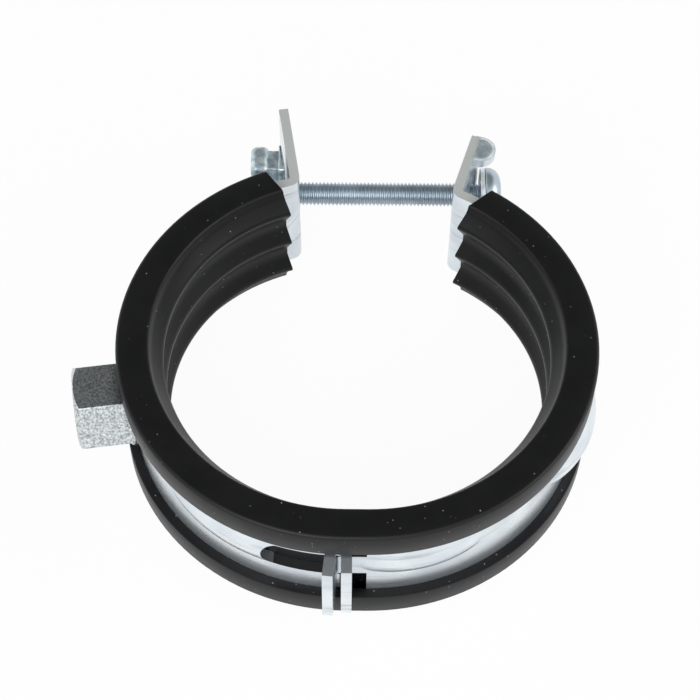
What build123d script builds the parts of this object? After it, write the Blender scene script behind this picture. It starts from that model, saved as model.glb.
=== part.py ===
"""Rubber lined pipe clamp: two hinged steel half bands in a ribbed rubber lining.

Frame: origin on the pipe axis of the nut half, at mid width. +Z is the pipe axis, +X
runs along the closing screw toward its head, -Y is the hinge side and +Y is the closing
side. All sizes are in millimetres.
"""
import math
import os

from build123d import *

# ---- driving dimensions -------------------------------------------------------------
BAND_INNER_R = 41.0      # steel band, inner face
SHEET = 2.0              # steel band, sheet thickness
BAND_WIDTH = 25.0        # steel band, along the pipe
SWING_SHIFT = 4.2        # the swing half's centre stands this far out while the clamp is open

LINING_THICK = 5.0       # rubber inside the band, at a rib's crest
LIP_THICK = 2.0          # rubber outside the band
LIP_FOLD = 4.0           # how far each lip reaches over the band
EDGE_THICK = 2.2         # rubber past each edge of the band
GROOVE_DEPTH = 1.8       # between the ribs
CORNER_STEP = 2.4        # from the crests out to the inner corner of the top face
RIB_PITCH = 9.3
RIB_CREST = 0.7          # flat on each crest
RIB_FOOT = 7.2           # rib width at the groove
LINING_ROUND = 1.5       # outer edges of the lining
LINING_END_NUT = (109.2, 112.6)     # degrees, at the crests and at the outer face
LINING_END_SWING = (59.2, 55.2)
END_SPARE = 6                # degrees turned past each end, then cut back to a slant

NUT_FLANGE_ANGLE = 105.2     # degrees round the ring where the flange turns out
NUT_FLANGE_LEAN = 8.7
NUT_FLANGE_REACH = 17.4      # from the band's outside to the flange's tip, along Y
SWING_FLANGE_ANGLE = 64.2
SWING_FLANGE_LEAN = 16.7
SWING_FLANGE_REACH = 10.2
BEND_R = 0.5                 # inside radius of every bend

SCREW_STAND = 4.4            # closing screw axis, out from the band's outside
SCREW_R = 2.5                # M5
SCREW_STEP = 5.0             # lengths that such screws come in
HEAD_R = 5.9
HEAD_HEIGHT = 3.4
HEAD_DOME = 2.0              # rounding of the head's outer edge
WASHER_R = 5.8
WASHER_THICK = 1.0
WASHER_SEAT = 0.15           # washer to the flange's nearest point

BAR_WIDTH = 7.0              # captive bar nut, along Y
BAR_LENGTH = 24.0            # along the pipe
BAR_HEAD = 3.8               # outer bar
BAR_WAIST = 2.0              # groove between bar and pad
BAR_PAD = 1.7                # pad on the flange
BAR_GROOVE = 0.7             # depth of the groove that runs round between bar and pad

EAR_X = 0.4                  # middle of the slotted ear
EAR_REACH = 5.4              # out from the band's outside
EAR_WIDTH = 16.0
SLOT_WIDTH = 7.2
SLOT_END_X = -15.9
SLOT_DEPTH = 0.35            # the ear is slotted this far past the band's outside
NECK_WIDTH = 6.4
NECK_Z = 1.0                 # slot and neck lie this far off mid width
TEE_X = -2.4                 # middle of the tee head, where it leaves the neck
TEE_LEAN = 6.0               # degrees away from the ear, toward its tip
TEE_REACH = 6.0              # out from the band's outside
TEE_CLEAR = 0.4              # from the band's outside to the head's shoulders
SEAM_GAP = 0.4               # between the two lining halves, at the band
SEAM_LEAN = 4.4              # degrees, each lining face, so that closing has room

NUT_ACROSS_FLATS = 16.0      # M10 connection nut
NUT_LENGTH = 10.6
NUT_BORE_R = 4.25
NUT_CHAMFER = 1.0
NUT_ANGLE = 188.6            # degrees round the ring
NUT_TURN = 4.5               # degrees about its own axis, as it was welded
RUNOUT_R = 4.7               # plain end of the bore, next to the band
RUNOUT_LENGTH = 1.0
WELD_R = 6.6
WELD_HEIGHT = 0.6

BEAD_TUBE_R = 8.0            # section of the pressed beads beside the hinge
BEAD_RISE = 0.9
NUT_BEAD = (245.0, 25.0)     # degrees: where a bead is highest, and how far off it fades out
SWING_BEAD = (-76.0, 16.0)
BOSS_TUBE_R = 7.0            # the taller pressed boss on the far side of the swing half
BOSS_RISE = 3.3
SWING_BOSS = (-14.0, 20.0)

GUSSET_Z = -1.4              # middle of the dent pressed into the nut flange's bend
GUSSET_HALF = 5.0            # half its width along the pipe
GUSSET_DEPTH = 1.0
GUSSET_BULGE = 0.9           # how far it stands out behind
GUSSET_SPAN = 5.2            # length of that bulge across the bend

NECK_RELIEF = 0.8            # room in the rubber over the neck
SLOT_TRAVEL_DOWN = 2.9       # screw's travel in the swing flange's slot, while closing
SLOT_TRAVEL_UP = 1.3         # and while opening
TAB_WIDTH = 6.7              # guard tabs at the swing flange's tip, rounded to a half disc
TAB_REACH = 4.9              # out from the flange's middle
TAB_MID = 2.85               # middle of a tab, up from the screw axis
RECESS_WIDTH = 1.1           # cross recess, one arm

RUNNING = 0.06               # radial play in a thread
CLEAR = 0.3                  # clearance holes

# ---- worked out ---------------------------------------------------------------------
BAND_OUTER_R = BAND_INNER_R + SHEET
BAND_MID_R = BAND_INNER_R + SHEET / 2
LINING_OUTER_R = BAND_OUTER_R + LIP_THICK
MID_BEND_R = BEND_R + SHEET / 2
HALF_BAND = BAND_WIDTH / 2
HALF_LINING = HALF_BAND + EDGE_THICK
HALF_GAP = HALF_BAND - LIP_FOLD
CREST_R = BAND_INNER_R - LINING_THICK
GROOVE_R = CREST_R + GROOVE_DEPTH
LIP_CORNER_R = CREST_R + CORNER_STEP
SCREW_Y = BAND_OUTER_R + SCREW_STAND
NUT_FLANGE_TIP_Y = BAND_OUTER_R + NUT_FLANGE_REACH
SWING_FLANGE_TIP_Y = BAND_OUTER_R + SWING_FLANGE_REACH
EAR_TIP_Y = -BAND_OUTER_R - EAR_REACH
TEE_TIP_Y = -BAND_OUTER_R - TEE_REACH
TEE_SHOULDER_Y = -BAND_OUTER_R - TEE_CLEAR
SLOT_FLOOR_Y = -BAND_OUTER_R - SLOT_DEPTH
SHOULDER_X = SWING_SHIFT          # the swing band narrows to its neck where its arc ends
BIG = 3 * LINING_OUTER_R


def ring_point(radius, degrees, shift=0.0):
    """A point in the XY plane, by radius and angle about a half's own centre."""
    a = math.radians(degrees)
    return (shift + radius * math.cos(a), radius * math.sin(a))


def bent_strip(path):
    """Sheet of full band width that follows a path in the XY plane."""
    return extrude(trace(path, line_width=SHEET), amount=HALF_BAND, both=True)


def block(x0, x1, y0, y1, half_z):
    """A box between two X and two Y values, centred on the band's mid width."""
    solid = Box(abs(x1 - x0), abs(y1 - y0), 2 * half_z)
    return Pos((x0 + x1) / 2, (y0 + y1) / 2, 0) * solid


def slot_block(x0, x1, y0, y1, width):
    """A box on the line of the hinge's slot and neck, which lies off mid width."""
    return Pos(0, 0, NECK_Z) * block(x0, x1, y0, y1, width / 2)


def along_x(radius, x0, x1, y=0.0):
    """A cylinder on an axis parallel to X."""
    rod = Cylinder(radius, abs(x1 - x0))
    return Pos((x0 + x1) / 2, y, 0) * Rot(0, 90, 0) * rod


# ---- steel bands --------------------------------------------------------------------
def press_out(strip, place, rise, tube_r, z, shift=0.0):
    """Push a long bead out of a band: a torus whose ring cuts the band's circle where it fades."""
    angle, fade = place
    peak = BAND_OUTER_R + rise
    nearer = BAND_OUTER_R * math.cos(math.radians(fade))
    offset = (peak**2 - BAND_OUTER_R**2) / (2 * (peak - nearer))
    ring_r = peak - offset - tube_r
    centre = Pos(*ring_point(offset, angle, shift), z)
    outside = Pos(shift, 0, z) * (Cylinder(BIG, BIG) - Cylinder(BAND_MID_R, BIG))
    strip += centre * Torus(ring_r, tube_r) & outside
    return strip - centre * Torus(ring_r, tube_r - SHEET)


def gusset(strip):
    """Dent pressed into the nut flange's bend, and the bulge that it makes behind."""
    corner = Vector(*ring_point(BAND_MID_R, NUT_FLANGE_ANGLE))
    band_way = Vector(-corner.Y, corner.X).normalized()
    flange_way = Vector(0, 1).rotate(Axis.Z, NUT_FLANGE_LEAN)
    inward = (band_way + flange_way).normalized()
    half_angle = math.radians(band_way.get_angle(flange_way) / 2)
    apex = MID_BEND_R / math.sin(half_angle) - MID_BEND_R - SHEET / 2
    back = apex + SHEET + GUSSET_BULGE
    dent_r = (GUSSET_HALF**2 + GUSSET_DEPTH**2) / (2 * GUSSET_DEPTH)
    axis_at = apex + GUSSET_DEPTH - dent_r
    local = Plane(corner, x_dir=inward, z_dir=(0, 0, 1)).location * Pos(0, 0, GUSSET_Z)
    lying = Rot(90, 0, 0)
    bulge = local * Pos(axis_at, 0, 0) * lying * Cylinder(back - axis_at, GUSSET_SPAN)
    strip += bulge & local * Pos(BIG + SHEET / 2, 0, 0) * Box(2 * BIG, 2 * BIG, 2 * BIG)
    return strip - local * Pos(axis_at, 0, 0) * lying * Cylinder(dent_r, 2 * GUSSET_SPAN)


def nut_band_path():
    """Ear, three quarters of the nut half's arc, and its closing flange."""
    ear_angle = -math.degrees(math.acos(EAR_X / BAND_MID_R))
    foot = ring_point(BAND_MID_R, ear_angle)
    root = ring_point(BAND_MID_R, NUT_FLANGE_ANGLE)
    run = (NUT_FLANGE_TIP_Y - root[1]) / math.cos(math.radians(NUT_FLANGE_LEAN))
    tip = Vector(*root) + Vector(0, run).rotate(Axis.Z, NUT_FLANGE_LEAN)
    ear = Line((EAR_X, EAR_TIP_Y), foot)
    sweep_angle = ear_angle + 360 - NUT_FLANGE_ANGLE
    arc = CenterArc((0, 0), BAND_MID_R, NUT_FLANGE_ANGLE, sweep_angle)
    flange = Line(root, tip)
    wire = Wire([ear, arc, flange])
    return wire.fillet_2d(MID_BEND_R, [Vertex(*foot), Vertex(*root)])


def swing_band_path():
    """Leaning tee head, neck, the swing half's arc, and its closing flange."""
    tee_tip = TEE_X - (-BAND_MID_R - TEE_TIP_Y) * math.tan(math.radians(TEE_LEAN))
    bottom = (SWING_SHIFT, -BAND_MID_R)
    corner = (TEE_X, -BAND_MID_R)
    root = ring_point(BAND_MID_R, SWING_FLANGE_ANGLE, SWING_SHIFT)
    run = (SWING_FLANGE_TIP_Y - root[1]) / math.cos(math.radians(SWING_FLANGE_LEAN))
    tip = Vector(*root) + Vector(0, run).rotate(Axis.Z, -SWING_FLANGE_LEAN)
    tee = Line((tee_tip, TEE_TIP_Y), corner)
    neck = Line(corner, bottom)
    arc = CenterArc((SWING_SHIFT, 0), BAND_MID_R, -90, 90 + SWING_FLANGE_ANGLE)
    flange = Line(root, tip)
    wire = Wire([tee, neck, arc, flange])
    return wire.fillet_2d(MID_BEND_R, [Vertex(*corner), Vertex(*root)])


def nut_band():
    """The half that carries the connection nut, with the slotted ear."""
    strip = bent_strip(nut_band_path())
    ear_side = EAR_X - MID_BEND_R - SHEET / 2
    ear_room = block(ear_side, EAR_X + BIG, -BIG, -BAND_INNER_R / 2, BIG)
    strip -= ear_room - block(ear_side, EAR_X + BIG, -BIG, 0, EAR_WIDTH / 2)
    strip = press_out(strip, NUT_BEAD, BEAD_RISE, BEAD_TUBE_R, NECK_Z)
    strip = gusset(strip)
    half_slot = SLOT_WIDTH / 2
    strip -= slot_block(SLOT_END_X + half_slot, EAR_X + BIG, SLOT_FLOOR_Y, -BAND_INNER_R / 2, SLOT_WIDTH)
    slot_end = Rot(90, 0, 0) * Cylinder(half_slot, 4 * SHEET)
    strip -= Pos(SLOT_END_X + half_slot, -BAND_MID_R, NECK_Z) * slot_end
    return strip - along_x(SCREW_R + CLEAR, -BAND_INNER_R, 0, SCREW_Y)


def swing_band():
    """The hinged half: neck and tee head below, slotted flange with two guard tabs above."""
    strip = bent_strip(swing_band_path())
    strip = press_out(strip, SWING_BEAD, BEAD_RISE, BEAD_TUBE_R, NECK_Z, SWING_SHIFT)
    strip = press_out(strip, SWING_BOSS, BOSS_RISE, BOSS_TUBE_R, 0, SWING_SHIFT)
    around_neck = block(-BIG, SHOULDER_X, -BIG, 0, BIG) - slot_block(-BIG, SHOULDER_X, -BIG, 0, NECK_WIDTH)
    tee_room = block(-BIG, TEE_X + SHEET, -BIG, TEE_SHOULDER_Y, EAR_WIDTH / 2)
    strip -= around_neck - tee_room
    local = Plane(flange_point(0), x_dir=flange_along(), z_dir=(0, 0, 1))
    slot_low = SCREW_R + CLEAR + SLOT_TRAVEL_DOWN
    slot_high = SCREW_R + CLEAR + SLOT_TRAVEL_UP
    slot_mid = (slot_high - slot_low) / 2
    slot = Pos(slot_mid, 0, 0) * Rot(90, 0, 0) * extrude(
        SlotOverall(slot_low + slot_high, 2 * (SCREW_R + CLEAR)), amount=2 * SHEET, both=True)
    strip -= local.location * slot
    disc_out = TAB_REACH - TAB_WIDTH / 2
    disc = Circle(TAB_WIDTH / 2) & Pos(0, -BIG / 2) * Rectangle(BIG, BIG)
    outline = Pos(0, -disc_out) * disc + Pos(0, -disc_out / 2) * Rectangle(TAB_WIDTH, disc_out)
    tab = extrude(outline, amount=SHEET / 2, both=True)
    for side in (-1, 1):
        strip += local.location * Pos(TAB_MID, 0, side * (HALF_BAND - SHEET / 2)) * tab
    return strip


def flange_along():
    """Direction up the swing half's flange."""
    return Vector(0, 1).rotate(Axis.Z, -SWING_FLANGE_LEAN)


def flange_point(offset):
    """Where the screw axis crosses the swing flange, offset from its middle to its outside."""
    root = Vector(*ring_point(BAND_MID_R, SWING_FLANGE_ANGLE, SWING_SHIFT))
    along = flange_along()
    rise = (SCREW_Y - root.Y) / along.Y
    out = Vector(along.Y, -along.X)
    return root + along * rise + out * offset


# ---- rubber lining ------------------------------------------------------------------
def lining_section():
    """Half of the C section, mirrored: ribs inside, lips folded round the band's edges."""
    foot = RIB_FOOT / 2
    crest = RIB_CREST / 2
    wall_r = (GROOVE_R + LIP_CORNER_R) / 2
    outline = Polyline(
        (CREST_R, 0),
        (CREST_R, crest),
        (GROOVE_R, foot),
        (GROOVE_R, RIB_PITCH - foot),
        (CREST_R, RIB_PITCH - crest),
        (CREST_R, RIB_PITCH + crest),
        (wall_r, RIB_PITCH + foot),
        (LIP_CORNER_R, HALF_LINING),
        (LINING_OUTER_R, HALF_LINING),
        (LINING_OUTER_R, HALF_GAP),
        (BAND_OUTER_R, HALF_GAP),
        (BAND_OUTER_R, HALF_BAND),
        (BAND_INNER_R, HALF_BAND),
        (BAND_INNER_R, 0),
        (CREST_R, 0),
    )
    half = make_face(outline)
    outside = half.vertices().group_by(Axis.X)[-1].sort_by(Axis.Y)
    half = fillet(outside[-1], LINING_ROUND)
    outside = half.vertices().group_by(Axis.X)[-1].sort_by(Axis.Y)
    half = fillet(outside[0], LIP_THICK / 3)
    whole = half + mirror(half, Plane.XZ)
    return Plane.XZ * whole


def lining_piece(start, end, shift):
    """The section turned about one half's own centre, from start to end in degrees."""
    ring = revolve(Rot(0, 0, start) * lining_section(), Axis.Z, end - start)
    return Pos(shift, 0, 0) * ring


def behind_line(first, second):
    """Everything to the left of a line in the XY plane, seen from first to second."""
    first = Vector(*first)
    along = (Vector(*second) - first).normalized()
    plane = Plane(first, x_dir=along, z_dir=(0, 0, 1))
    return plane.location * Pos(0, BIG / 2, 0) * Box(2 * BIG, BIG, 2 * BIG)


def seam_line(side):
    """Two points on a lining's hinge-side face, which leans away from the seam."""
    seam_x = SWING_SHIFT / 2 + side * SEAM_GAP / 2
    lean = math.tan(math.radians(SEAM_LEAN))
    low = (seam_x, -BAND_OUTER_R)
    high = (seam_x + side * lean * BAND_OUTER_R, 0)
    return low, high


def neck_relief(x0, x1):
    """Room in a lining's outside for the neck that lies over it."""
    return slot_block(x0, x1, -BAND_INNER_R, -BAND_INNER_R + NECK_RELIEF, SLOT_WIDTH)


def nut_lining():
    """Lining of the nut half, with a relief for the neck under the slot."""
    crest_end, outer_end = LINING_END_NUT
    piece = lining_piece(crest_end - END_SPARE, 270 + END_SPARE, 0)
    inner = ring_point(CREST_R, crest_end)
    outer = ring_point(LINING_OUTER_R, outer_end)
    piece -= behind_line(outer, inner)
    low, high = seam_line(-1)
    piece -= behind_line(high, low)
    return piece - neck_relief(SLOT_END_X / 2, BIG)


def swing_lining():
    """Lining of the swing half."""
    crest_end, outer_end = LINING_END_SWING
    piece = lining_piece(-90 - END_SPARE, crest_end + END_SPARE, SWING_SHIFT)
    inner = ring_point(CREST_R, crest_end, SWING_SHIFT)
    outer = ring_point(LINING_OUTER_R, outer_end, SWING_SHIFT)
    piece -= behind_line(inner, outer)
    low, high = seam_line(1)
    piece -= behind_line(low, high)
    return piece - neck_relief(-BIG, SHOULDER_X + NECK_RELIEF)


# ---- connection nut -----------------------------------------------------------------
def connection_nut():
    """Hexagon weld nut on a short collar of weld, turned a little as it was welded."""
    inner_x = -BAND_OUTER_R - WELD_HEIGHT
    outer_x = inner_x - NUT_LENGTH
    hexagon = RegularPolygon(NUT_ACROSS_FLATS / 2, 6, major_radius=False, rotation=0)
    prism = Plane.YZ.offset(outer_x).location * extrude(hexagon, amount=NUT_LENGTH)
    corner_r = NUT_ACROSS_FLATS / 2 / math.cos(math.radians(30))
    cone = Pos(outer_x + NUT_LENGTH / 2, 0, 0) * Rot(0, 90, 0) * Cylinder(corner_r, NUT_LENGTH)
    cone = chamfer(cone.edges().group_by(Axis.X)[0], NUT_CHAMFER / 2, NUT_CHAMFER)
    nut = Rot(NUT_TURN, 0, 0) * (prism & cone)
    nut += along_x(WELD_R, inner_x, -BAND_MID_R)
    nut -= extrude(Circle(BAND_OUTER_R), amount=BIG, both=True)
    nut -= along_x(NUT_BORE_R, outer_x - 1, 0)
    nut -= along_x(RUNOUT_R, -BAND_OUTER_R - RUNOUT_LENGTH, 0)
    mouth = Pos(outer_x, 0, 0) * Rot(0, 90, 0) * Cone(NUT_BORE_R + NUT_CHAMFER, NUT_BORE_R, NUT_CHAMFER)
    nut -= Pos(NUT_CHAMFER / 2, 0, 0) * mouth
    return Rot(0, 0, NUT_ANGLE - 180) * nut


# ---- closing screw and its pieces ---------------------------------------------------
def bar_seat():
    """Where the screw axis meets the outside of the nut half's flange."""
    root = Vector(*ring_point(BAND_MID_R, NUT_FLANGE_ANGLE))
    along = Vector(0, 1).rotate(Axis.Z, NUT_FLANGE_LEAN)
    seat = root + Vector(-along.Y, along.X) * SHEET / 2
    return seat + along * ((SCREW_Y - seat.Y) / along.Y)


def captive_bar_nut():
    """Threaded bar with a pad and a groove, seated on the outside of the nut half's flange."""
    seat = bar_seat()
    along = Vector(0, 1).rotate(Axis.Z, NUT_FLANGE_LEAN)
    y0 = SCREW_Y - BAR_WIDTH / 2
    y1 = SCREW_Y + BAR_WIDTH / 2
    pad_x = seat.X - BAR_PAD
    waist_x = pad_x - BAR_WAIST
    end_x = waist_x - BAR_HEAD
    bar = block(end_x, waist_x, y0, y1, BAR_LENGTH / 2)
    bar = fillet(bar.edges().filter_by(Axis.Z).group_by(Axis.X)[0], BAR_HEAD / 2)
    bar += block(waist_x, pad_x, y0 + BAR_GROOVE, y1 - BAR_GROOVE, BAR_LENGTH / 2 - BAR_GROOVE)
    bar += block(pad_x, seat.X + BAR_WIDTH, y0, y1, BAR_LENGTH / 2)
    bar -= behind_line(seat + along, seat)
    return bar - along_x(SCREW_R + RUNNING, -BIG, 0, SCREW_Y)


def washer_x():
    """Inner face of the washer, which meets the leaning flange at the washer's top edge."""
    lean = math.tan(math.radians(SWING_FLANGE_LEAN))
    outer_face = flange_point(0).X + SHEET / 2 / math.cos(math.radians(SWING_FLANGE_LEAN))
    return outer_face + WASHER_R * lean + WASHER_SEAT


def washer():
    """Plain washer under the screw's head."""
    x0 = washer_x()
    ring = along_x(WASHER_R, x0, x0 + WASHER_THICK, SCREW_Y)
    return ring - along_x(SCREW_R + RUNNING, x0 - 1, x0 + WASHER_THICK + 1, SCREW_Y)


def closing_screw():
    """Pan head screw with a cross recess, plain at the thread's outside diameter."""
    under_head = washer_x() + WASHER_THICK + RUNNING
    reach = under_head - bar_seat().X + BAR_PAD + BAR_WAIST + BAR_HEAD
    tip_x = under_head - SCREW_STEP * math.ceil(reach / SCREW_STEP)
    shank = along_x(SCREW_R, tip_x, under_head + 1, SCREW_Y)
    shank = chamfer(shank.edges().group_by(Axis.X)[0], SCREW_R / 4)
    head = along_x(HEAD_R, under_head, under_head + HEAD_HEIGHT, SCREW_Y)
    head = fillet(head.edges().group_by(Axis.X)[-1], HEAD_DOME)
    end_x = under_head + HEAD_HEIGHT
    arm = Box(HEAD_HEIGHT, HEAD_R, RECESS_WIDTH)
    recess = Pos(end_x, SCREW_Y, 0) * (arm + Rot(90, 0, 0) * arm)
    return shank + head - recess


PIECES = {
    "nut_side_band": nut_band,
    "swing_side_band": swing_band,
    "nut_side_lining": nut_lining,
    "swing_side_lining": swing_lining,
    "connection_nut": connection_nut,
    "captive_bar_nut": captive_bar_nut,
    "closing_washer": washer,
    "closing_screw": closing_screw,
}

os.makedirs("parts", exist_ok=True)
for name, make in PIECES.items():
    export_step(make(), f"parts/{name}.step")
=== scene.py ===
"""Rubber lined pipe clamp, lying open on its lower edge. Metres, +Z along the pipe."""
import math

import bmesh
import bpy
from mathutils import Matrix, Vector


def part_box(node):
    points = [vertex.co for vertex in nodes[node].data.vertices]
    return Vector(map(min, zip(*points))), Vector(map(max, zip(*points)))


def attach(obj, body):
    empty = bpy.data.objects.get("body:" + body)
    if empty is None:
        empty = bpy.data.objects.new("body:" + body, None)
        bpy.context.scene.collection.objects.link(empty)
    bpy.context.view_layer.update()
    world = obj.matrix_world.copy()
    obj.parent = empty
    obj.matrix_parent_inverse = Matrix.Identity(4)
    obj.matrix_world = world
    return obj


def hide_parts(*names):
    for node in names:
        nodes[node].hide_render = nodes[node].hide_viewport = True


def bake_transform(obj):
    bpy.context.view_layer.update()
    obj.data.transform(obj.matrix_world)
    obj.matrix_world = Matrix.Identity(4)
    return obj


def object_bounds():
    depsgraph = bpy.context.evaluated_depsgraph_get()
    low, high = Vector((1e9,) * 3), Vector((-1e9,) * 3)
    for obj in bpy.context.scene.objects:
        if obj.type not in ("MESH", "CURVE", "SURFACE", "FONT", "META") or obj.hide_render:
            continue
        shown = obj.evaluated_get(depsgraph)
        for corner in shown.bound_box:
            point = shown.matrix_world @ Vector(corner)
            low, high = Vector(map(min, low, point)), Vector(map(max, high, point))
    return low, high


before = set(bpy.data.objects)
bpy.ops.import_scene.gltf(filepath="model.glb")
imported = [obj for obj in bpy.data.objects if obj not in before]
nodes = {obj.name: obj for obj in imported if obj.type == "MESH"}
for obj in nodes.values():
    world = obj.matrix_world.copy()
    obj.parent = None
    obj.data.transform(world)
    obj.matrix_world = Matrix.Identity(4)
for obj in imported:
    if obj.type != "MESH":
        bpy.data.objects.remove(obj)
cad_low, cad_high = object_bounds()
scene = bpy.context.scene

# ---- camera -------------------------------------------------------------------------
# One long lens looks down on the clamp from the hinge side, a little more from above
# than from the front, and rolled by half a degree.
LENS = 94.63
CAMERA_PLACE = (0.00068, -0.2049, 0.3085)
CAMERA_TILT = math.radians(34.43)
CAMERA_ROLL = math.radians(0.52)

camera_data = bpy.data.cameras.new("camera")
camera_data.lens = LENS
camera_data.sensor_width = 36
camera_data.clip_start = 0.01
camera = bpy.data.objects.new("camera", camera_data)
camera.location = CAMERA_PLACE
camera.rotation_mode = "ZYX"
camera.rotation_euler = (CAMERA_TILT, 0, CAMERA_ROLL)
scene.collection.objects.link(camera)
scene.camera = camera
scene.view_settings.view_transform = "Standard"

# ---- studio -------------------------------------------------------------------------
# A white table in a white room with a dim ceiling behind the clamp, which keeps faces
# that look up dark. The table is white by its colour and still takes a faint shadow.
WHITE = (1, 1, 1, 1)
ROOM_LIGHT = 0.8
CEILING_LIGHT = 0.16
CEILING_PLACE = (0.0, 0.5, 0.866)
CEILING_EDGE = (0.62, 0.9)
TABLE_SIZE = 6
TABLE_COLOR = (0.9, 0.9, 0.9, 1)
TABLE_GLOW = 0.95


def feed(tree, value, socket):
    """Link a socket to another one, or give it a plain value."""
    if isinstance(value, bpy.types.NodeSocket):
        tree.links.new(value, socket)
    else:
        socket.default_value = value


def calculated(tree, operation, *values):
    """The result of a Math node on numbers or sockets."""
    node = tree.nodes.new("ShaderNodeMath")
    node.operation = operation
    for value, socket in zip(values, node.inputs):
        feed(tree, value, socket)
    return node.outputs[0]


def ranged(tree, value, start=(0.0, 1.0), end=(0.0, 1.0), way="LINEAR"):
    """A value carried from one range to another, and held inside the second."""
    node = tree.nodes.new("ShaderNodeMapRange")
    node.interpolation_type = way
    feed(tree, value, node.inputs["Value"])
    node.inputs["From Min"].default_value, node.inputs["From Max"].default_value = start
    node.inputs["To Min"].default_value, node.inputs["To Max"].default_value = end
    return node.outputs["Result"]


def seen_directly(tree):
    """1 for camera, glossy and transmission rays."""
    path = tree.nodes.new("ShaderNodeLightPath").outputs
    either = calculated(tree, "MAXIMUM", path["Is Camera Ray"], path["Is Glossy Ray"])
    return calculated(tree, "MAXIMUM", either, path["Is Transmission Ray"])


def light_room():
    """The world: one white all round, dimmed toward the ceiling for all but the camera."""
    world = bpy.data.worlds.new("studio")
    scene.world = world
    world.use_nodes = True
    tree = world.node_tree
    background = tree.nodes["Background"]
    background.inputs["Color"].default_value = WHITE
    way = tree.nodes.new("ShaderNodeTexCoord")
    toward = tree.nodes.new("ShaderNodeVectorMath")
    toward.operation = "DOT_PRODUCT"
    toward.inputs[1].default_value = CEILING_PLACE
    feed(tree, way.outputs["Generated"], toward.inputs[0])
    ceiling = ranged(tree, toward.outputs["Value"], CEILING_EDGE, (1.0, CEILING_LIGHT), "SMOOTHSTEP")
    level = ranged(tree, seen_directly(tree), end=(ROOM_LIGHT, 1.0))
    room = calculated(tree, "MULTIPLY", level, ceiling)
    in_view = tree.nodes.new("ShaderNodeLightPath").outputs["Is Camera Ray"]
    feed(tree, calculated(tree, "MAXIMUM", room, in_view), background.inputs["Strength"])


def white_table():
    """Matt white, and lit by itself where it is looked at."""
    finish = bpy.data.materials.new("white_table")
    finish.use_nodes = True
    tree = finish.node_tree
    tree.nodes.clear()
    matt = tree.nodes.new("ShaderNodeBsdfDiffuse")
    matt.inputs["Color"].default_value = TABLE_COLOR
    glow = tree.nodes.new("ShaderNodeEmission")
    glow.inputs["Color"].default_value = WHITE
    both = tree.nodes.new("ShaderNodeMixShader")
    out = tree.nodes.new("ShaderNodeOutputMaterial")
    feed(tree, calculated(tree, "MULTIPLY", seen_directly(tree), TABLE_GLOW), both.inputs["Fac"])
    feed(tree, matt.outputs[0], both.inputs[1])
    feed(tree, glow.outputs[0], both.inputs[2])
    feed(tree, both.outputs[0], out.inputs["Surface"])
    return finish


def cover(piece, finish):
    """One finish all over a piece."""
    piece.data.materials.clear()
    piece.data.materials.append(finish)


def clear_selection():
    """Nothing selected, in object mode."""
    bpy.ops.object.select_all(action="DESELECT")


def soft_box(name, place, size, power):
    """A square area lamp aimed at the clamp."""
    data = bpy.data.lights.new(name, "AREA")
    data.size = size
    data.energy = power
    lamp = bpy.data.objects.new(name, data)
    lamp.location = place
    lamp.rotation_euler = (-Vector(place)).to_track_quat("-Z", "Y").to_euler()
    scene.collection.objects.link(lamp)


light_room()
soft_box("front_box", (-0.3, -0.75, 0.55), 0.6, 4.5)
soft_box("side_panel", (0.85, -0.1, 0.4), 0.5, 2.5)
clear_selection()
bpy.ops.mesh.primitive_plane_add(size=TABLE_SIZE, location=(0, 0, cad_low.z))
floor = bpy.context.object
floor.name = "table_top"
cover(floor, white_table())

# ---- steel half bands ---------------------------------------------------------------
# Two strips of bright zinc plated sheet, cut, pierced and bent. The nut half carries the
# slotted ear of the hinge, the swing half the neck, the tee head and the guard tabs.
MM = 0.001
BRIGHT_ZINC = (0.82, 0.87, 0.90, 1)
DULL_ZINC = (0.66, 0.72, 0.77, 1)
# painted reflection: colour of dark streaks standing in for the lips reflected in the sheet
PAINTED_REFLECTION_STREAK = (0.30, 0.33, 0.36, 1)
SHEARED_STEEL = (0.74, 0.77, 0.75, 1)
# painted shade: dark colour for the walls inside the hinge's slot
PAINTED_SLOT_SHADE = (0.13, 0.14, 0.15, 1)
METAL_SHARE = 0.88
GRAIN_DEPTH = 0.05 * MM
PATCH_EDGE = (0.35, 0.65)
STREAK_ALONG = 1.7
STREAK_ACROSS = 480.0
STREAK_EDGE = (0.54, 0.72)
STREAK_SHARE = 0.7
STREAK_ROUGH = 0.3
SHEARED_ROUGH = 0.62
SLOT_WALL_ROUGH = 0.3
SQUARE_TO_PIPE = 0.94
SLOT_TOP = -30.4 * MM
SLOT_FOOT = -43.6 * MM


def cloud(tree, place, scale, detail, roughness=0.5):
    """Noise of a scale, 0 to 1."""
    noise = tree.nodes.new("ShaderNodeTexNoise")
    feed(tree, place, noise.inputs["Vector"])
    feed(tree, scale, noise.inputs["Scale"])
    noise.inputs["Detail"].default_value = detail
    noise.inputs["Roughness"].default_value = roughness
    return noise.outputs["Fac"]


def mixed(tree, kind, factor, first, second):
    """Two colours (kind RGBA) or two numbers (kind FLOAT), mixed by a mask."""
    node = tree.nodes.new("ShaderNodeMix")
    node.data_type = kind
    feed(tree, factor, node.inputs["Factor"])
    feed(tree, first, node.inputs["A"])
    feed(tree, second, node.inputs["B"])
    return node.outputs["Result"]


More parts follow.
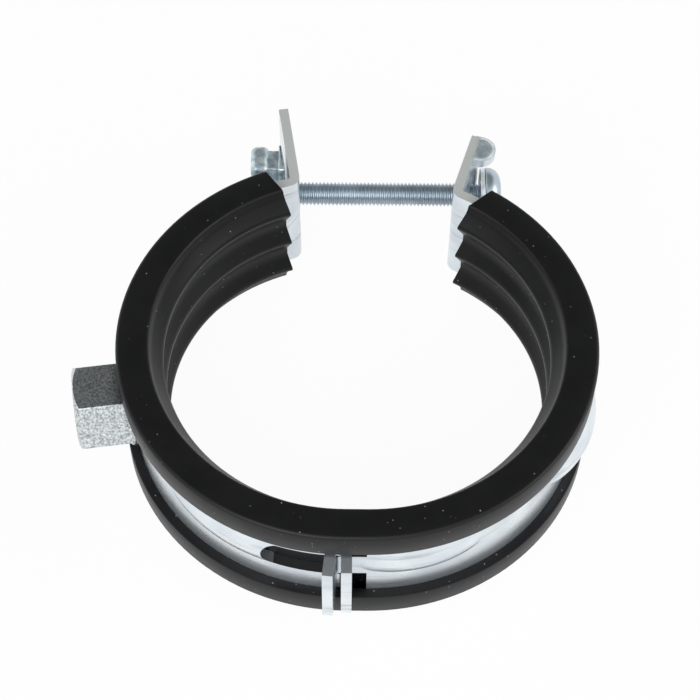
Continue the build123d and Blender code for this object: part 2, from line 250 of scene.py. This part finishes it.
def skin_group():
    """Cloudy patches and the relief of a fine grain, as plating and moulded rubber have."""
    group = bpy.data.node_groups.new("grained_skin", "ShaderNodeTree")
    sockets = group.interface
    sockets.new_socket("Vector", in_out="INPUT", socket_type="NodeSocketVector")
    for name in ("Patch Scale", "Grain Scale", "Relief"):
        sockets.new_socket(name, in_out="INPUT", socket_type="NodeSocketFloat")
    sockets.new_socket("Patches", in_out="OUTPUT", socket_type="NodeSocketFloat")
    sockets.new_socket("Normal", in_out="OUTPUT", socket_type="NodeSocketVector")
    given = group.nodes.new("NodeGroupInput").outputs
    result = group.nodes.new("NodeGroupOutput").inputs
    relief = group.nodes.new("ShaderNodeBump")
    relief.inputs["Distance"].default_value = GRAIN_DEPTH
    feed(group, given["Relief"], relief.inputs["Strength"])
    feed(group, cloud(group, given["Vector"], given["Grain Scale"], 2.0), relief.inputs["Height"])
    feed(group, cloud(group, given["Vector"], given["Patch Scale"], 3.0), result["Patches"])
    feed(group, relief.outputs["Normal"], result["Normal"])
    return group


skin = skin_group()


def skinned(name, patch_scale, grain_scale, relief):
    """A new material with the skin's relief, the place on the object, and the patches."""
    finish = bpy.data.materials.new(name)
    finish.use_nodes = True
    tree = finish.node_tree
    place = tree.nodes.new("ShaderNodeTexCoord").outputs["Object"]
    effect = tree.nodes.new("ShaderNodeGroup")
    effect.node_tree = skin
    feed(tree, place, effect.inputs["Vector"])
    effect.inputs["Patch Scale"].default_value = patch_scale
    effect.inputs["Grain Scale"].default_value = grain_scale
    effect.inputs["Relief"].default_value = relief
    feed(tree, effect.outputs["Normal"], tree.nodes["Principled BSDF"].inputs["Normal"])
    return finish, place, effect.outputs["Patches"]


def plated(name, light, dark, gloss, patch_scale, grain_scale, relief, metal=METAL_SHARE):
    """Metal between two colours, and between two roughnesses (gloss), by its patches."""
    finish, _, patches = skinned(name, patch_scale, grain_scale, relief)
    tree = finish.node_tree
    shader = tree.nodes["Principled BSDF"].inputs
    spread = ranged(tree, patches, PATCH_EDGE)
    feed(tree, mixed(tree, "RGBA", spread, dark, light), shader["Base Color"])
    smooth_to, rough_to = gloss
    feed(tree, ranged(tree, patches, end=(rough_to, smooth_to)), shader["Roughness"])
    shader["Metallic"].default_value = metal
    return finish


def overlay(finish, mask, color, rough):
    """Lay another colour and roughness over a finish where a mask is 1."""
    tree = finish.node_tree
    shader = tree.nodes["Principled BSDF"].inputs
    for name, kind, value in (("Base Color", "RGBA", color), ("Roughness", "FLOAT", rough)):
        before = shader[name].links[0].from_socket
        feed(tree, mixed(tree, kind, mask, before, value), shader[name])


def apart(tree, vector):
    """The X, Y and Z of a vector."""
    node = tree.nodes.new("ShaderNodeSeparateXYZ")
    feed(tree, vector, node.inputs["Vector"])
    return node.outputs


def add_painted_reflection_streaks(finish):
    """Painted reflection: dark streaks that run round the ring, standing in for the rubber lips
    reflected in the sheet.
    """
    tree = finish.node_tree
    where = apart(tree, tree.nodes.new("ShaderNodeTexCoord").outputs["Object"])
    about = calculated(tree, "ARCTAN2", where["Y"], where["X"])
    strip = tree.nodes.new("ShaderNodeCombineXYZ")
    feed(tree, calculated(tree, "MULTIPLY", about, STREAK_ALONG), strip.inputs["X"])
    feed(tree, calculated(tree, "MULTIPLY", where["Z"], STREAK_ACROSS), strip.inputs["Y"])
    streaks = cloud(tree, strip.outputs["Vector"], 1.0, 6.0, 0.65)
    # mask of the painted reflection streaks
    painted_reflection_mask = ranged(tree, streaks, STREAK_EDGE, (0.0, STREAK_SHARE))
    overlay(finish, painted_reflection_mask, PAINTED_REFLECTION_STREAK, STREAK_ROUGH)


def add_cut_or_shaded_faces(finish, color, rough, from_y, to_y):
    """Faces square to the pipe, between two places along Y, take another colour and roughness: cut
    steel, or a painted shade.
    """
    tree = finish.node_tree
    place = tree.nodes.new("ShaderNodeTexCoord").outputs
    where = apart(tree, place["Object"])
    upright = calculated(tree, "ABSOLUTE", apart(tree, place["Normal"])["Z"])
    square = calculated(tree, "GREATER_THAN", upright, SQUARE_TO_PIPE)
    above = calculated(tree, "GREATER_THAN", where["Y"], from_y)
    below = calculated(tree, "LESS_THAN", where["Y"], to_y)
    between = calculated(tree, "MULTIPLY", above, below)
    overlay(finish, calculated(tree, "MULTIPLY", square, between), color, rough)


band_zinc = plated("bright_zinc", BRIGHT_ZINC, DULL_ZINC, gloss=(0.2, 0.38),
                   patch_scale=110.0, grain_scale=2500.0, relief=0.05)
# painted reflection: dark streaks round the ring for the lips reflected in the sheet
add_painted_reflection_streaks(band_zinc)
# sheared and rough at the flanges; dark inside the hinge's slot, a painted shade on the slot's walls
add_cut_or_shaded_faces(band_zinc, SHEARED_STEEL, SHEARED_ROUGH, SLOT_TOP, cad_high.y + MM)
add_cut_or_shaded_faces(band_zinc, PAINTED_SLOT_SHADE, SLOT_WALL_ROUGH, SLOT_FOOT, SLOT_TOP)
cover(nodes["nut_side_band"], band_zinc)
cover(nodes["swing_side_band"], band_zinc)

# ---- rubber lining ------------------------------------------------------------------
# One black rubber moulding with three ribs inside and a lip folded round each edge of
# the steel. It is pushed on as a strip, so it runs unbroken past the hinge.
CREST_R = 36.0 * MM
RUBBER_OUTER = 45.0 * MM
SWING_SHIFT = 4.2 * MM
LINING_START = 100.0
NUT_SWEEP = 170.0
SWING_SWEEP = 160.0
LINING_STEP = 2.5
# where each half's lining ends, in degrees, at the rib's crest and at the outside
NUT_END = (109.2, 112.6)
SWING_END = (59.2, 55.2)
# radius and height in millimetres, from the middle rib's crest up to the band's edge
HALF_SECTION = [
    (36.0, 0.35), (36.35, 0.9), (37.3, 2.7), (37.8, 3.7), (37.8, 5.6), (37.3, 6.6),
    (36.35, 8.4), (36.0, 8.95), (36.0, 9.65), (36.35, 10.2), (37.9, 12.3), (38.35, 13.4),
    (38.5, 14.3), (38.7, 14.6), (39.0, 14.7), (44.25, 14.7), (44.6, 14.62), (44.85, 14.4),
    (45.0, 14.0), (45.0, 8.8), (44.92, 8.58), (44.7, 8.5), (43.0, 8.5),
    (43.0, 12.5), (41.0, 12.5),
]
LINING_SECTION = [(r, -z) for r, z in reversed(HALF_SECTION)] + HALF_SECTION
MERGE_DISTANCE = 1e-6
BLACK_RUBBER = (0.0035, 0.0037, 0.0042, 1)
BLOOMED_RUBBER = (0.0065, 0.0068, 0.0075, 1)
RUBBER_ROUGH = (0.36, 0.5)
RUBBER_SHINE = 0.28
DUST = (0.4, 0.41, 0.42, 1)
DUST_SCALE = 880.0
DUST_EDGE = (0.13, 0.07)
DUST_BARE = 0.72


def choose(piece):
    """One piece active and selected, and nothing else."""
    clear_selection()
    bpy.context.view_layer.objects.active = piece
    piece.select_set(True)


def edit(piece):
    """Edit mode on one piece, with nothing selected."""
    choose(piece)
    bpy.ops.object.mode_set(mode="EDIT")
    bpy.ops.mesh.select_all(action="DESELECT")


def pick(piece, wanted):
    """Select the vertices for which wanted(place) is true."""
    shape = bmesh.from_edit_mesh(piece.data)
    bpy.ops.mesh.select_mode(type="VERT")
    for vertex in shape.verts:
        vertex.select = wanted(vertex.co)
    shape.select_flush(True)
    bmesh.update_edit_mesh(piece.data)


def outline_loop(name, places):
    """A closed loop of edges through some places, in edit mode with all of it selected."""
    clear_selection()
    bpy.ops.mesh.primitive_circle_add(vertices=len(places), radius=RUBBER_OUTER)
    loop = bpy.context.object
    loop.name = name
    for vertex, place in zip(loop.data.vertices, places):
        vertex.co = place
    edit(loop)
    bpy.ops.mesh.select_all(action="SELECT")
    return loop


def close_up():
    """Merge doubles, drop loose edges, turn the faces outwards and leave edit mode."""
    bpy.ops.mesh.select_all(action="SELECT")
    bpy.ops.mesh.remove_doubles(threshold=MERGE_DISTANCE)
    bpy.ops.mesh.select_all(action="SELECT")
    bpy.ops.mesh.delete_loose()
    bpy.ops.mesh.select_all(action="SELECT")
    bpy.ops.mesh.normals_make_consistent(inside=False)
    bpy.ops.object.mode_set(mode="OBJECT")


def smooth(piece, degrees=35):
    """Smooth shading up to an edge angle."""
    choose(piece)
    bpy.ops.object.shade_smooth_by_angle(angle=math.radians(degrees))


def ring_place(radius, degrees, height=0.0, shift=0.0):
    """A point by radius and angle about one half's own centre."""
    about = math.radians(degrees)
    return Vector((shift + radius * math.cos(about), radius * math.sin(about), height))


def sweep(degrees, middle):
    """Spin the selected section clockwise about one half's centre."""
    bpy.ops.mesh.spin(steps=round(degrees / LINING_STEP), angle=-math.radians(degrees),
                      center=middle, axis=(0, 0, 1))


def trim_end(piece, ends, shift, side):
    """Cut a lining's end along the slanted line between its crest and its outside."""
    crest = ring_place(CREST_R, ends[0], 0, shift)
    outside = ring_place(RUBBER_OUTER, ends[1], 0, shift)
    along = (outside - crest).normalized()
    pick(piece, lambda at: at.y > 0 and at.x * side < 0)
    bpy.ops.mesh.bisect(plane_co=crest, plane_no=Vector((along.y, -along.x, 0)) * side,
                        use_fill=True, clear_outer=True)


lining = outline_loop("rubber_lining",
                      [ring_place(r * MM, LINING_START, z * MM) for r, z in LINING_SECTION])
sweep(NUT_SWEEP, (0, 0, 0))
bpy.ops.mesh.extrude_region_move(TRANSFORM_OT_translate={"value": (SWING_SHIFT, 0, 0)})
sweep(SWING_SWEEP, (SWING_SHIFT, 0, 0))
trim_end(lining, NUT_END, 0.0, 1)
trim_end(lining, SWING_END, SWING_SHIFT, -1)
close_up()
smooth(lining, 40)


def dusty_rubber():
    """Black rubber with a faint bloom and scattered specks of pale dust."""
    finish, place, patches = skinned("black_rubber", patch_scale=160.0, grain_scale=4000.0, relief=0.2)
    tree = finish.node_tree
    shader = tree.nodes["Principled BSDF"].inputs
    tone = mixed(tree, "RGBA", patches, BLACK_RUBBER, BLOOMED_RUBBER)
    cells = tree.nodes.new("ShaderNodeTexVoronoi")
    cells.inputs["Scale"].default_value = DUST_SCALE
    feed(tree, place, cells.inputs["Vector"])
    chance = tree.nodes.new("ShaderNodeSeparateColor")
    feed(tree, cells.outputs["Color"], chance.inputs["Color"])
    speck = ranged(tree, cells.outputs["Distance"], DUST_EDGE)
    some = calculated(tree, "GREATER_THAN", chance.outputs["Red"], DUST_BARE)
    strong = calculated(tree, "MULTIPLY", some, chance.outputs["Green"])
    dust = calculated(tree, "MULTIPLY", speck, strong)
    feed(tree, mixed(tree, "RGBA", dust, tone, DUST), shader["Base Color"])
    feed(tree, ranged(tree, patches, end=RUBBER_ROUGH), shader["Roughness"])
    shader["Specular IOR Level"].default_value = RUBBER_SHINE
    return finish


cover(lining, dusty_rubber())
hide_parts("nut_side_lining", "swing_side_lining")
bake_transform(lining)

# ---- connection nut -----------------------------------------------------------------
# A hexagon weld nut with an M10 thread, chamfered at its outer end. It stands on the nut
# half's band on an uneven ring of weld, a few degrees off square.
NUT_FLATS = 16.0 * MM
NUT_LENGTH = 10.6 * MM
NUT_STAND = 43.6 * MM
NUT_FACE = NUT_STAND + NUT_LENGTH
NUT_CORNER_R = NUT_FLATS / 2 / math.cos(math.radians(30))
NUT_EDGE = 0.14 * MM
NUT_ANGLE = math.radians(188.6)
NUT_TURN = math.radians(4.5)
NUT_MAJOR_R = 5.0 * MM
NUT_MINOR_R = 4.3 * MM
NUT_PITCH = 1.5 * MM
BORE_START = NUT_STAND - 2 * MM
BORE_END = NUT_FACE + MM
MOUTH_START = NUT_FACE - 0.9 * MM
MOUTH_END = NUT_FACE + 0.1 * MM
MOUTH_R = NUT_MAJOR_R + 0.7 * MM
NUT_THREAD = (NUT_STAND - MM, NUT_FACE - 0.2 * MM)
# millimetres back from the nut's face, and in from its corners
NUT_CHAMFER = ((1.15, -0.05), (0.35, 0.9), (0.0, 1.6), (-0.5, 2.6))
THREAD_STEPS = 40
THREAD_SINK = 0.08
# places along one turn, as shares of the pitch, of the ridge's feet and of its crest
RIDGE_FOOT = 0.46
RIDGE_CREST = 0.07
WELD_R = 7.4 * MM
BEAD_R = 1.05 * MM
WELD_PLACE = NUT_STAND - 0.15 * MM
# waves round the weld: how many, how high as a share of its radius, and where they start
WELD_WAVES = ((5, 0.05, 0), (11, 0.035, 1), (23, 0.02, 0))
QUARTER_TURN = math.radians(90)
NUT_PALE = (0.80, 0.85, 0.84, 1)
NUT_DARK = (0.32, 0.35, 0.37, 1)


def apply(piece, step):
    """Apply one modifier."""
    choose(piece)
    bpy.ops.object.modifier_apply(modifier=step.name)


def turned(name, outline, steps=64):
    """A solid of revolution about X from a closed outline of (along, radius) in metres."""
    piece = outline_loop(name, [(along, radius, 0) for along, radius in outline])
    bpy.ops.mesh.spin(steps=steps, angle=2 * math.pi, center=(0, 0, 0), axis=(1, 0, 0))
    close_up()
    return piece


def thread_ridge(name, root_r, crest_r, pitch, start, end):
    """A helical ridge about X, with its foot sunk a little past the root radius."""
    foot_r = root_r + (root_r - crest_r) * THREAD_SINK
    corners = ((-RIDGE_FOOT, foot_r), (-RIDGE_CREST, crest_r),
               (RIDGE_CREST, crest_r), (RIDGE_FOOT, foot_r))
    piece = outline_loop(name, [(start + (along + 0.5) * pitch, r, 0) for along, r in corners])
    bpy.ops.mesh.edge_face_add()
    bpy.ops.object.mode_set(mode="OBJECT")
    wind = piece.modifiers.new("thread", "SCREW")
    wind.axis = "X"
    wind.screw_offset = pitch
    wind.iterations = int((end - start) / pitch) - 1
    wind.steps = THREAD_STEPS
    wind.render_steps = THREAD_STEPS
    apply(piece, wind)
    edit(piece)
    close_up()
    return piece


def drop_folds(piece):
    """Delete pairs of triangles that lie back to back on the same three vertices."""
    shape = bmesh.from_edit_mesh(piece.data)
    corners = {face: frozenset(vertex.index for vertex in face.verts) for face in shape.faces}
    counts = {}
    for key in corners.values():
        counts[key] = counts.get(key, 0) + 1
    for face, key in corners.items():
        face.select = counts[key] > 1
    bmesh.update_edit_mesh(piece.data)
    bpy.ops.mesh.delete(type="ONLY_FACE")
    bpy.ops.mesh.select_all(action="SELECT")
    bpy.ops.mesh.delete_loose()


def cut(piece, tool, how):
    """Boolean of a piece with a tool, which is then thrown away, and a clean up."""
    step = piece.modifiers.new("cut", "BOOLEAN")
    step.operation = how
    step.object = tool
    step.solver = "EXACT"
    apply(piece, step)
    bpy.data.objects.remove(tool)
    edit(piece)
    bpy.ops.mesh.select_all(action="SELECT")
    bpy.ops.mesh.dissolve_degenerate(threshold=MERGE_DISTANCE)
    bpy.ops.mesh.select_all(action="SELECT")
    bpy.ops.mesh.quads_convert_to_tris(quad_method="BEAUTY", ngon_method="BEAUTY")
    drop_folds(piece)
    bpy.ops.object.mode_set(mode="OBJECT")


def rounded(piece, width, segments=3):
    """Bevel the edges sharper than 30 degrees."""
    step = piece.modifiers.new("round", "BEVEL")
    step.width = width
    step.segments = segments
    step.limit_method = "ANGLE"
    step.angle_limit = math.radians(30)
    apply(piece, step)


def combine(name, *pieces):
    """Several meshes as one piece."""
    choose(pieces[0])
    for piece in pieces:
        piece.select_set(True)
    bpy.ops.object.join()
    pieces[0].name = name
    return pieces[0]


def hexagon():
    """The nut's body: a hexagonal bar, chamfered and bored."""
    clear_selection()
    bpy.ops.mesh.primitive_cylinder_add(vertices=6, radius=NUT_CORNER_R, depth=NUT_LENGTH)
    body = bpy.context.object
    middle = Matrix.Translation((NUT_STAND + NUT_LENGTH / 2, 0, 0))
    body.data.transform(middle @ Matrix.Rotation(QUARTER_TURN, 4, "Y"))
    rounded(body, NUT_EDGE)
    start = NUT_STAND - MM
    chamfer = [(NUT_FACE - back * MM, NUT_CORNER_R - inset * MM) for back, inset in NUT_CHAMFER]
    end = chamfer[-1][0]
    cone = turned("cone", [(start, 0), (start, NUT_CORNER_R + MM)] + chamfer + [(end, 0)], 96)
    cut(body, cone, "INTERSECT")
    bore = turned("bore", [
        (BORE_START, 0), (BORE_START, NUT_MAJOR_R), (MOUTH_START, NUT_MAJOR_R),
        (MOUTH_END, MOUTH_R), (BORE_END, MOUTH_R), (BORE_END, 0)])
    cut(body, bore, "DIFFERENCE")
    return body


def weld_ring():
    """The uneven bead of weld between nut and band."""
    clear_selection()
    bpy.ops.mesh.primitive_torus_add(major_radius=WELD_R, minor_radius=BEAD_R,
                                     major_segments=96, minor_segments=16)
    ring = bpy.context.object
    ring.data.transform(Matrix.Translation((WELD_PLACE, 0, 0)) @ Matrix.Rotation(QUARTER_TURN, 4, "Y"))
    for vertex in ring.data.vertices:
        about = math.atan2(vertex.co.z, vertex.co.y)
        swell = 1 + sum(high * math.sin(count * about + start) for count, high, start in WELD_WAVES)
        vertex.co.y *= swell
        vertex.co.z *= swell
    return ring


nut_thread = thread_ridge("nut_thread", NUT_MAJOR_R, NUT_MINOR_R, NUT_PITCH, *NUT_THREAD)
nut_piece = combine("connection_nut_finish", hexagon(), nut_thread, weld_ring())
nut_piece.data.transform(Matrix.Rotation(NUT_ANGLE, 4, "Z") @ Matrix.Rotation(-NUT_TURN, 4, "X"))
smooth(nut_piece)
cover(nut_piece, plated("nut_zinc", NUT_PALE, NUT_DARK, gloss=(0.2, 0.34), patch_scale=2200.0,
                        grain_scale=5200.0, relief=0.4, metal=1.0))
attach(nut_piece, "nut_half")
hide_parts("connection_nut")

# ---- captive bar nut ----------------------------------------------------------------
# A threaded steel bar with a pad, held on the nut half's flange by the groove between
# them. Its edges are well rounded and its plating is mottled.
BAR_HEAD = 3.8 * MM
BAR_WAIST = 2.0 * MM
BAR_GROOVE = 0.9 * MM
PAD_DEPTH = 1.2 * MM
PAD_BACK = 0.7 * MM
SEAT_SET_BACK = 0.68 * MM
BAR_ROUND = 1.35 * MM
WAIST_ROUND = 0.3 * MM
PAD_ROUND = 0.4 * MM
FLANGE_LEAN = math.radians(8.7)
BAR_PALE = (0.78, 0.88, 0.90, 1)
BAR_DARK = (0.30, 0.40, 0.46, 1)


def rounded_block(name, low, high, radius, segments=4):
    """A box between two corners with rounded edges."""
    clear_selection()
    bpy.ops.mesh.primitive_cube_add(size=1)
    block = bpy.context.object
    block.name = name
    block.data.transform(Matrix.Translation((low + high) / 2) @ Matrix.Diagonal((*(high - low), 1)))
    rounded(block, radius, segments)
    return block


def lean_seat(piece, from_x, top_y):
    """Slant the pad's seat to follow the flange's lean."""
    edit(piece)
    pick(piece, lambda at: at.x > from_x)
    shape = bmesh.from_edit_mesh(piece.data)
    for vertex in shape.verts:
        if vertex.select:
            vertex.co.x += (top_y - vertex.co.y) * math.tan(FLANGE_LEAN) - SEAT_SET_BACK
    bmesh.update_edit_mesh(piece.data)
    bpy.ops.object.mode_set(mode="OBJECT")


bar_low, bar_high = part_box("captive_bar_nut")
groove_x = bar_low.x + BAR_HEAD
pad_x = groove_x + BAR_WAIST
inset = Vector((0, BAR_GROOVE, BAR_GROOVE))
bar_nut = combine(
    "captive_bar_nut_finish",
    rounded_block("bar", bar_low, Vector((groove_x, *bar_high.yz)), BAR_ROUND, 6),
    rounded_block("waist", Vector((groove_x - MM, *bar_low.yz)) + inset,
                  Vector((pad_x + MM, *bar_high.yz)) - inset, WAIST_ROUND),
    rounded_block("pad", Vector((pad_x, *bar_low.yz)),
                  Vector((pad_x + PAD_DEPTH, *bar_high.yz)), PAD_ROUND))
lean_seat(bar_nut, pad_x + PAD_BACK, bar_high.y)
smooth(bar_nut)
cover(bar_nut, plated("bar_zinc", BAR_PALE, BAR_DARK, gloss=(0.34, 0.52), patch_scale=620.0,
                      grain_scale=3000.0, relief=0.6, metal=0.75))
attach(bar_nut, "nut_half")
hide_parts("captive_bar_nut")

# ---- guard lugs ---------------------------------------------------------------------
# The two half discs at the swing flange's tip are coined, which leaves a domed face with
# a rolled rim on each side of the sheet.
SWING_LEAN = math.radians(16.7)
LUG_R = 3.2 * MM
LUG_PROUD = 0.35 * MM
LUG_SINK = 0.4 * MM
LUG_FACE_Z = 12.5 * MM
LUG_PLACE = Vector((27.66 * MM, 49.68 * MM, 0))
LUG_STAND = 0.55 * MM
# height as a share of the dome's, and millimetres in from the rim
LUG_DOME = ((0, 0.05), (0.7, 0.45), (1, 1.1), (0.5, 1.9))
LUG_HOLLOW = 0.4
LUG_PALE = (0.84, 0.93, 0.95, 1)
LUG_DARK = (0.45, 0.56, 0.62, 1)


def lug_dome(side):
    """One coined half disc, on the upper (1) or lower (-1) side of the sheet."""
    foot = LUG_FACE_Z - LUG_SINK
    coined = [(LUG_FACE_Z + share * LUG_PROUD, LUG_R - inset * MM) for share, inset in LUG_DOME]
    middle = [(LUG_FACE_Z + LUG_HOLLOW * LUG_PROUD, 0)]
    dome = turned("lug", [(foot, 0), (foot, LUG_R)] + coined + middle, 48)
    dome.data.transform(Matrix.Translation(LUG_PLACE) @ Matrix.Rotation(-side * QUARTER_TURN, 4, "Y"))
    outward = Vector((math.cos(SWING_LEAN), -math.sin(SWING_LEAN), 0))
    edit(dome)
    bpy.ops.mesh.select_all(action="SELECT")
    bpy.ops.mesh.bisect(plane_co=LUG_PLACE - outward * LUG_STAND, plane_no=outward,
                        use_fill=True, clear_inner=True)
    bpy.ops.object.mode_set(mode="OBJECT")
    return dome


lug_piece = combine("guard_lugs", lug_dome(1), lug_dome(-1))
smooth(lug_piece)
cover(lug_piece, plated("lug_zinc", LUG_PALE, LUG_DARK, gloss=(0.26, 0.4), patch_scale=420.0,
                        grain_scale=2500.0, relief=0.2, metal=0.72))
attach(lug_piece, "swing_half")

# ---- washer -------------------------------------------------------------------------
# A plain round washer under the screw's head. It is stamped from zinc plated sheet, which
# leaves its outer edge rolled on one side and sheared on the other.
SCREW_R = 2.5 * MM
WASHER_PLAY = 0.1 * MM
SHEARED_EDGE = 0.1 * MM
ROLLED_EDGE = 0.35 * MM

washer_low, washer_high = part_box("closing_washer")
washer_r = (washer_high.y - washer_low.y) / 2
screw_line = Matrix.Translation((0, (washer_high.y + washer_low.y) / 2, 0))
bore_r = SCREW_R + WASHER_PLAY
washer_piece = turned("closing_washer_finish", [
    (washer_low.x, bore_r), (washer_low.x, washer_r - SHEARED_EDGE),
    (washer_low.x + SHEARED_EDGE, washer_r), (washer_high.x - ROLLED_EDGE, washer_r),
    (washer_high.x - SHEARED_EDGE, washer_r - SHEARED_EDGE),
    (washer_high.x, washer_r - ROLLED_EDGE), (washer_high.x, bore_r)], 72)
washer_piece.data.transform(screw_line)
smooth(washer_piece)
cover(washer_piece, band_zinc)
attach(washer_piece, "washer")
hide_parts("closing_washer")

# ---- closing screw ------------------------------------------------------------------
# An M5 pan head screw with a cross recess, threaded right up to the head and plated a
# darker blue grey than the sheet.
SCREW_CORE_R = 2.06 * MM
SCREW_PITCH = 0.8 * MM
SCREW_POINT = 0.5 * MM
HEAD_HEIGHT = 3.4 * MM
HEAD_RIM = 0.55 * MM
HEAD_EDGE = 0.15 * MM
HEAD_CROWN = 0.64
DOME_FULLNESS = 0.8
RECESS_WIDTH = 1.15 * MM
RECESS_SPAN = 5.6 * MM
RECESS_DEPTH = 2.0 * MM
RECESS_TURN = 20
# the arm's span and width at its bottom and above the head, as shares of the recess's
BOTTOM_SHARES = (0.45, 0.7)
TOP_SHARES = (1.15, 1.0)
CORE_END = 0.6 * MM
RIDGE_END = 0.4 * MM
SCREW_PALE = (0.52, 0.60, 0.66, 1)
SCREW_DARK = (0.42, 0.49, 0.55, 1)


def screw_head(start, end, radius):
    """A pan head with a domed top, along X."""
    crown = end - start - HEAD_RIM
    dome = []
    for degrees in range(0, 90, 10):
        rise = math.sin(math.radians(degrees))
        spread = math.cos(math.radians(degrees)) ** DOME_FULLNESS
        dome.append((start + HEAD_RIM + crown * rise, radius * (1 - HEAD_CROWN + HEAD_CROWN * spread)))
    foot = [(start, 0), (start, radius - HEAD_EDGE), (start + HEAD_EDGE, radius)]
    return turned("head", foot + dome + [(end, 0)], 72)


def recess_arm(top, degrees):
    """One tapered arm of the cross, as a cutting tool through the head's top."""
    clear_selection()
    bpy.ops.mesh.primitive_cube_add(size=1)
    arm = bpy.context.object
    for vertex in arm.data.vertices:
        deep = vertex.co.x < 0
        span, width = BOTTOM_SHARES if deep else TOP_SHARES
        vertex.co.x = top - RECESS_DEPTH if deep else top + MM
        vertex.co.y *= RECESS_SPAN * span
        vertex.co.z *= RECESS_WIDTH * width
    arm.data.transform(Matrix.Rotation(math.radians(degrees), 4, "X"))
    return arm


screw_low, screw_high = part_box("closing_screw")
head_x = screw_high.x - HEAD_HEIGHT
head = screw_head(head_x, screw_high.x, (screw_high.y - screw_low.y) / 2)
for turn in (0, 90):
    cut(head, recess_arm(screw_high.x, RECESS_TURN + turn), "DIFFERENCE")
core = turned("core", [
    (screw_low.x, 0), (screw_low.x, SCREW_CORE_R - SCREW_POINT),
    (screw_low.x + CORE_END, SCREW_CORE_R), (head_x + HEAD_RIM, SCREW_CORE_R),
    (head_x + HEAD_RIM, 0)], 40)
ridge = thread_ridge("ridge", SCREW_CORE_R, SCREW_R, SCREW_PITCH,
                     screw_low.x + SCREW_POINT, head_x + RIDGE_END)
screw_piece = combine("closing_screw_finish", head, core, ridge)
screw_piece.data.transform(screw_line)
smooth(screw_piece, 30)
cover(screw_piece, plated("screw_zinc", SCREW_PALE, SCREW_DARK, gloss=(0.28, 0.38),
                          patch_scale=250.0, grain_scale=3000.0, relief=0.05))
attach(screw_piece, "screw")
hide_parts("closing_screw")
